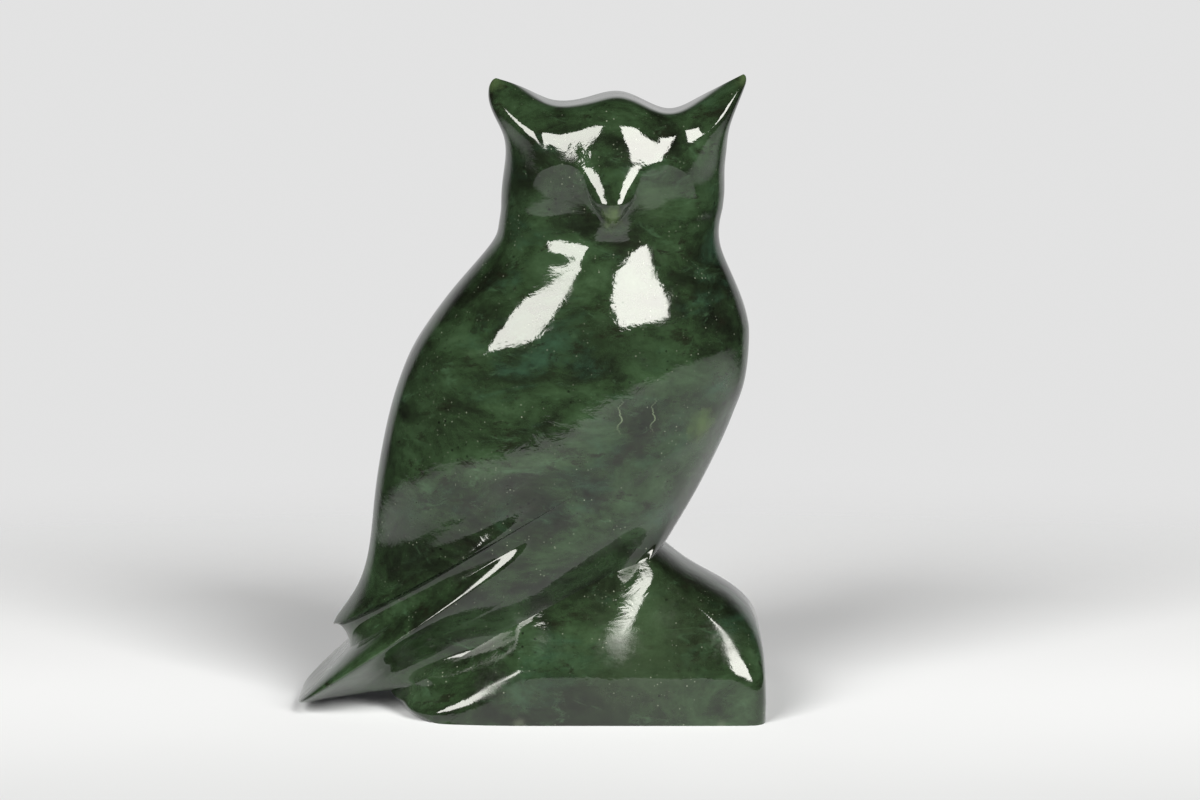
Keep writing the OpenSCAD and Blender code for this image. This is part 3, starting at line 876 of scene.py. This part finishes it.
def flecked(tree, place, colour):
    """Colour with tiny pale and dark flecks in clusters."""
    for scale, cover, tone in FLECKS:
        grains = node(tree, "ShaderNodeTexVoronoi", Scale=scale)
        tree.links.new(place, grains.inputs["Vector"])
        dot = span(tree, grains.outputs["Distance"], *FLECK_EDGE, 1.0, 0.0)
        chosen = span(tree, split(tree, grains.outputs["Color"])["X"], 1 - 2 * cover, 1.0, 0.0, 1.0)
        clouds = noise(tree, place, CLUSTER_SCALE * scale, *CLUSTER_NOISE)
        cluster = span(tree, clouds, *CLUSTER_EDGE, 0.0, 1.0)
        share = sums(tree, "MULTIPLY", sums(tree, "MULTIPLY", dot, chosen), cluster)
        colour = blend(tree, share, colour, tone)
    return colour


def stone_colour_and_painted_light(tree, place):
    """Colour of the stone: clouds, then layers, spots, veins and flecks over them.

    Some of the spots are painted shade, painted reflection and painted light through the thin tips.
    """
    fields = {name: mapped(tree, place, *values) for name, values in FIELDS.items()}
    colour = ramp(tree, noise(tree, fields["bands"], *CLOUDS), JADE_TONES)
    for name, grain, start, full, cover, tone in LAYERS:
        share = span(tree, noise(tree, fields[name], *grain), start, full, 0.0, cover)
        colour = blend(tree, share, colour, tone)
    wobble = noise(tree, place, *SPOT_WOBBLE)
    # Spots of the stone's colour, and spots of painted shade, painted reflection and painted light
    # through thin tips
    for centre, reach, cover, tone in SPOTS_AND_PAINTED_LIGHT:
        share = sums(tree, "MULTIPLY", near(tree, place, centre, reach, wobble), cover)
        colour = blend(tree, share, colour, tone)
    return flecked(tree, place, veined(tree, place, colour))


def new_material(name):
    """Material with nodes: itself, its tree, its shader and the place on the object."""
    material = bpy.data.materials.new(name)
    material.use_nodes = True
    tree = material.node_tree
    place = node(tree, "ShaderNodeTexCoord").outputs["Object"]
    return material, tree, tree.nodes["Principled BSDF"], place


def jade_material():
    """Polished nephrite: dark green clouds and bands, flecks, veins, scuffs and polishing marks.

    Some spots of its colour are painted shade, painted reflection and painted light through thin tips.
    """
    material, tree, shader, place = new_material("polished_jade")
    link = tree.links.new
    link(stone_colour_and_painted_light(tree, place), shader.inputs["Base Color"])
    shader.inputs["IOR"].default_value = STONE_IOR

    polish = span(tree, noise(tree, place, *WEAR), *WEAR_EDGE, *POLISH)
    wobble = noise(tree, place, *SCUFF_WOBBLE)
    for centre, reach, rough in SCUFFS:
        scuffed = sums(tree, "MULTIPLY", near(tree, place, centre, reach, wobble), rough)
        polish = sums(tree, "ADD", polish, scuffed)
    link(polish, shader.inputs["Roughness"])

    lapping = noise(tree, mapped(tree, place, *LAPPING_FIELD), *LAPPING)
    scratches = noise(tree, mapped(tree, place, *SCRATCH_FIELD), *SCRATCHES)
    height = sums(tree, "ADD", lapping, sums(tree, "MULTIPLY", scratches, SCRATCH_SHARE))
    relief = node(tree, "ShaderNodeBump", Strength=1.0, Distance=RELIEF * MM)
    link(height, relief.inputs["Height"])
    link(relief.outputs["Normal"], shader.inputs["Normal"])
    return material


def floor_material():
    """Pale paper, fading out at the rim, with painted light: darker in front, paler at the back."""
    material, tree, shader, place = new_material("pale_paper_with_painted_light")
    link = tree.links.new
    shader.inputs["Roughness"].default_value = PAPER_ROUGHNESS
    shader.inputs["Specular IOR Level"].default_value = PAPER_SHINE
    # Painted light: the paper gets paler from front to back, along a cloudy line
    cloudy = sums(tree, "MULTIPLY", noise(tree, place, *PAINTED_LIGHT_CLOUDS), PAINTED_LIGHT_SHIFT)
    deep = sums(tree, "ADD", split(tree, place)["Y"], cloudy)
    tone = ramp(tree, span(tree, deep, *PAINTED_LIGHT_DEPTH, 0.0, 1.0), PAPER_AND_PAINTED_LIGHT_TONES)
    link(tone, shader.inputs["Base Color"])
    far = node(tree, "ShaderNodeVectorMath", operation="LENGTH")
    link(place, far.inputs[0])
    link(span(tree, far.outputs["Value"], *PAPER_FADE, 1.0, 0.0), shader.inputs["Alpha"])
    return material


def add_floor():
    """Pale round floor under the owl."""
    turns = [2 * math.pi * i / FLOOR_SIDES for i in range(FLOOR_SIDES)]
    ring = [(FLOOR_RADIUS * math.cos(turn), FLOOR_RADIUS * math.sin(turn), 0) for turn in turns]
    mesh = bpy.data.meshes.new("floor")
    mesh.from_pydata(ring, [], [list(range(FLOOR_SIDES))])
    mesh.materials.append(floor_material())
    floor = add_object("floor", mesh)
    floor.location = FLOOR_PLACE


def add_softbox(name, azimuth, elevation, distance, width, height, radiance):
    """Rectangular light that faces the owl; azimuth is measured from the camera's side, in degrees."""
    turn = math.radians(azimuth)
    rise = math.radians(elevation)
    flat = math.cos(rise)
    away = np.array([math.sin(turn) * flat, -math.cos(turn) * flat, math.sin(rise)])
    light = bpy.data.lights.new(name, "AREA")
    light.shape = "RECTANGLE"
    light.size = width
    light.size_y = height
    light.energy = radiance * math.pi * width * height
    light.color = LIGHT_COLOUR
    lamp = add_object(name, light)
    lamp.location = np.array(LIGHT_TARGET) + away * distance
    lamp.rotation_euler = (math.pi / 2 - rise, 0, turn)


def set_world():
    """Pale studio.

    It is bright low down behind the owl and dark elsewhere. The camera sees plain pale past the floor.
    """
    world = bpy.data.worlds.new("studio")
    bpy.context.scene.world = world
    world.use_nodes = True
    tree = world.node_tree
    link = tree.links.new
    background = tree.nodes["Background"]
    way = split(tree, node(tree, "ShaderNodeTexCoord").outputs["Generated"])
    back = span(tree, way["Y"], *STUDIO_BACK)
    low = span(tree, way["Z"], *STUDIO_LOW)
    seen = node(tree, "ShaderNodeMix", data_type="FLOAT")
    seen.inputs["B"].default_value = BACKDROP
    link(node(tree, "ShaderNodeLightPath").outputs["Is Camera Ray"], seen.inputs["Factor"])
    link(sums(tree, "MULTIPLY", back, low), seen.inputs["A"])
    link(seen.outputs["Result"], background.inputs["Strength"])
    background.inputs["Color"].default_value = (1, 1, 1, 1)


def add_camera():
    """Camera at the photograph's viewing angle."""
    elevation = math.radians(CAMERA_ELEVATION)
    away = np.array([0, -math.cos(elevation), math.sin(elevation)])
    data = bpy.data.cameras.new("camera")
    data.sensor_width = SENSOR_WIDTH
    data.lens = SENSOR_WIDTH * PIXELS_PER_MM * CAMERA_DISTANCE / MM / PICTURE_WIDTH
    camera = add_object("camera", data)
    camera.location = in_row_frame(CAMERA_TARGET) + CAMERA_DISTANCE * away
    camera.rotation_euler = (math.pi / 2 - elevation, 0, 0)
    bpy.context.scene.camera = camera


add_camera()
add_floor()
for softbox in SOFTBOXES:
    add_softbox(*softbox)
set_world()
bpy.context.scene.view_settings.view_transform = "Standard"

jade = jade_material()
for piece in build_owl():
    node_name = piece.name.split(".")[0]
    piece.name = "jade_" + node_name
    piece.data.materials.append(jade)
    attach(piece, "root")
    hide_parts(node_name)
